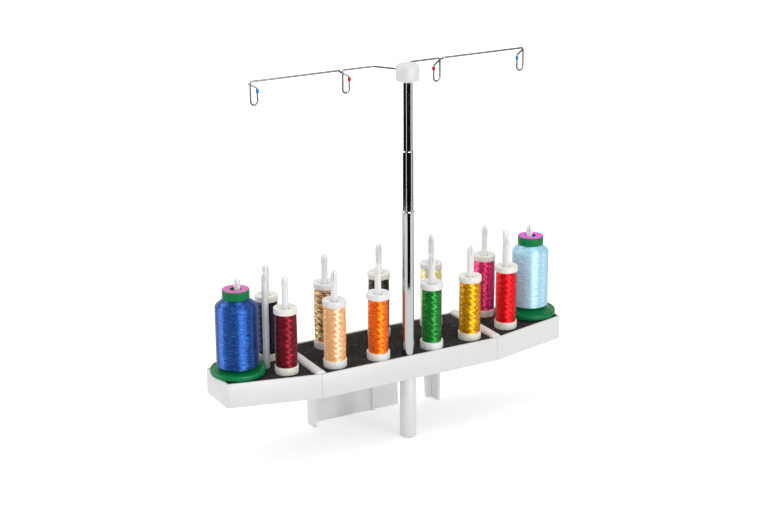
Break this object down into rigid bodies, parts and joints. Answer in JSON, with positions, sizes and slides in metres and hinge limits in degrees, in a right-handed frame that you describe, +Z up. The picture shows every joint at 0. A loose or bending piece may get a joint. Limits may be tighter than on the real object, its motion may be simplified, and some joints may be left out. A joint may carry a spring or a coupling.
{
  "type": "thread rack",
  "caption": "Wide thread rack for a sewing machine: hooked white trays with felt mats and split spool pins, spools of thread, a telescopic mast and bent thread guide wires.",
  "frame": {"origin": "on the ground, below the middle of the whole rack's box", "axes": "+X runs along the rack to its right, +Y runs to the back, away from the foot post's side, +Z runs up along the mast"},
  "size_m": [0.3652, 0.086, 0.357],
  "materials": {
    "tray_plastic": "smooth white moulding, softly glossy",
    "felt": "charcoal felt, matt",
    "pin_plastic": "smooth white moulding",
    "bracket_plastic": "smooth white moulding",
    "hub_plastic": "smooth white moulding",
    "mast_chrome": "polished chrome plate",
    "wire_steel": "bright plated wire",
    "screw_steel": "zinc-plated steel",
    "sleeve_brass": "rolled brass",
    "plug_plastic": "dark moulding",
    "blue_bead": "glossy blue",
    "red_bead": "glossy red",
    "small_spool_plastic": "white, slightly translucent moulding",
    "green_plastic": "glossy green moulding",
    "paper_disc": "printed paper, pink",
    "peach_thread": "cross-wound sewing thread, soft sheen",
    "orange_thread": "cross-wound sewing thread, soft sheen",
    "green_thread": "cross-wound sewing thread, soft sheen",
    "gold_thread": "cross-wound sewing thread, soft sheen",
    "variegated_thread": "cross-wound sewing thread, soft sheen",
    "black_thread": "cross-wound sewing thread, soft sheen",
    "yellow_thread": "cross-wound sewing thread, soft sheen",
    "dark_red_thread": "cross-wound sewing thread, soft sheen",
    "navy_thread": "cross-wound sewing thread, soft sheen",
    "red_thread": "cross-wound sewing thread, soft sheen",
    "fuchsia_thread": "cross-wound sewing thread, soft sheen",
    "royal_blue_thread": "cross-wound sewing thread, soft sheen",
    "light_blue_thread": "cross-wound sewing thread, soft sheen"
  },
  "bodies": {
    "rack": {"centre_tray": "tray_plastic", "left_wing_tray": "tray_plastic", "right_wing_tray": "tray_plastic", "wing_screws": "screw_steel", "centre_mat": "felt", "left_wing_mat": "felt", "right_wing_mat": "felt", "centre_spool_pins": "pin_plastic", "left_spool_pins": "pin_plastic", "right_spool_pins": "pin_plastic", "foot_post": "bracket_plastic", "foot_post_screw": "screw_steel", "rear_bracket": "bracket_plastic", "rear_bracket_screws": "screw_steel", "mast_lower_tube": "mast_chrome", "mast_foot_plug": "plug_plastic"},
    "mast_middle": {"mast_middle_tube": "mast_chrome", "middle_spring_sleeve": "sleeve_brass"},
    "mast_top": {"mast_top_tube": "mast_chrome", "top_spring_sleeve": "sleeve_brass", "hub_bush": "hub_plastic"},
    "thread_guide": {"guide_hub": "hub_plastic", "left_guide_wire": "wire_steel", "right_guide_wire": "wire_steel", "blue_beads": "blue_bead", "red_beads": "red_bead"},
    "peach_spool": {"peach_spool_core": "small_spool_plastic", "peach_thread": "peach_thread"},
    "orange_spool": {"orange_spool_core": "small_spool_plastic", "orange_thread": "orange_thread"},
    "green_spool": {"green_spool_core": "small_spool_plastic", "green_thread": "green_thread"},
    "gold_spool": {"gold_spool_core": "small_spool_plastic", "gold_thread": "gold_thread"},
    "variegated_spool": {"variegated_spool_core": "small_spool_plastic", "variegated_thread": "variegated_thread"},
    "black_spool": {"black_spool_core": "small_spool_plastic", "black_thread": "black_thread"},
    "yellow_spool": {"yellow_spool_core": "small_spool_plastic", "yellow_thread": "yellow_thread"},
    "dark_red_spool": {"dark_red_spool_core": "small_spool_plastic", "dark_red_thread": "dark_red_thread"},
    "navy_spool": {"navy_spool_core": "small_spool_plastic", "navy_thread": "navy_thread"},
    "red_spool": {"red_spool_core": "small_spool_plastic", "red_thread": "red_thread"},
    "fuchsia_spool": {"fuchsia_spool_core": "small_spool_plastic", "fuchsia_thread": "fuchsia_thread"},
    "royal_blue_spool": {"royal_blue_spool_base": "green_plastic", "royal_blue_spool_core": "green_plastic", "royal_blue_thread": "royal_blue_thread", "royal_blue_spool_disc": "paper_disc"},
    "light_blue_spool": {"light_blue_spool_base": "green_plastic", "light_blue_spool_core": "green_plastic", "light_blue_thread": "light_blue_thread", "light_blue_spool_disc": "paper_disc"}
  },
  "joints": [
    {"name": "middle_tube_slide", "type": "slide", "parent": "rack", "child": "mast_middle", "axis": [0, 0, 1], "range_m": [-0.056, 0]},
    {"name": "top_tube_slide", "type": "slide", "parent": "mast_middle", "child": "mast_top", "axis": [0, 0, 1], "range_m": [-0.0625, 0]},
    {"name": "thread_guide_turn", "type": "hinge", "parent": "mast_top", "child": "thread_guide", "pos_m": [0, -0.03245, 0.342], "axis": [0, 0, 1], "continuous": true},
    {"name": "peach_spool_turn", "type": "hinge", "parent": "rack", "child": "peach_spool", "pos_m": [-0.072, -0.02395, 0.0822], "axis": [0, 0, 1], "continuous": true},
    {"name": "orange_spool_turn", "type": "hinge", "parent": "rack", "child": "orange_spool", "pos_m": [-0.0285, -0.02695, 0.0822], "axis": [0, 0, 1], "continuous": true},
    {"name": "green_spool_turn", "type": "hinge", "parent": "rack", "child": "green_spool", "pos_m": [0.0285, -0.02695, 0.0822], "axis": [0, 0, 1], "continuous": true},
    {"name": "gold_spool_turn", "type": "hinge", "parent": "rack", "child": "gold_spool", "pos_m": [0.072, -0.02395, 0.0822], "axis": [0, 0, 1], "continuous": true},
    {"name": "variegated_spool_turn", "type": "hinge", "parent": "rack", "child": "variegated_spool", "pos_m": [-0.0574, 0.02355, 0.0822], "axis": [0, 0, 1], "continuous": true},
    {"name": "black_spool_turn", "type": "hinge", "parent": "rack", "child": "black_spool", "pos_m": [0, 0.02355, 0.0822], "axis": [0, 0, 1], "continuous": true},
    {"name": "yellow_spool_turn", "type": "hinge", "parent": "rack", "child": "yellow_spool", "pos_m": [0.0574, 0.02355, 0.0822], "axis": [0, 0, 1], "continuous": true},
    {"name": "dark_red_spool_turn", "type": "hinge", "parent": "rack", "child": "dark_red_spool", "pos_m": [-0.1175, -0.01615, 0.0822], "axis": [0, 0, 1], "continuous": true},
    {"name": "navy_spool_turn", "type": "hinge", "parent": "rack", "child": "navy_spool", "pos_m": [-0.1175, 0.02355, 0.0822], "axis": [0, 0, 1], "continuous": true},
    {"name": "red_spool_turn", "type": "hinge", "parent": "rack", "child": "red_spool", "pos_m": [0.1175, -0.01615, 0.0822], "axis": [0, 0, 1], "continuous": true},
    {"name": "fuchsia_spool_turn", "type": "hinge", "parent": "rack", "child": "fuchsia_spool", "pos_m": [0.1175, 0.02355, 0.0822], "axis": [0, 0, 1], "continuous": true},
    {"name": "royal_blue_spool_turn", "type": "hinge", "parent": "rack", "child": "royal_blue_spool", "pos_m": [-0.1572, 0.0028, 0.0822], "axis": [0, 0, 1], "continuous": true},
    {"name": "light_blue_spool_turn", "type": "hinge", "parent": "rack", "child": "light_blue_spool", "pos_m": [0.1572, 0.0028, 0.0822], "axis": [0, 0, 1], "continuous": true}
  ]
}
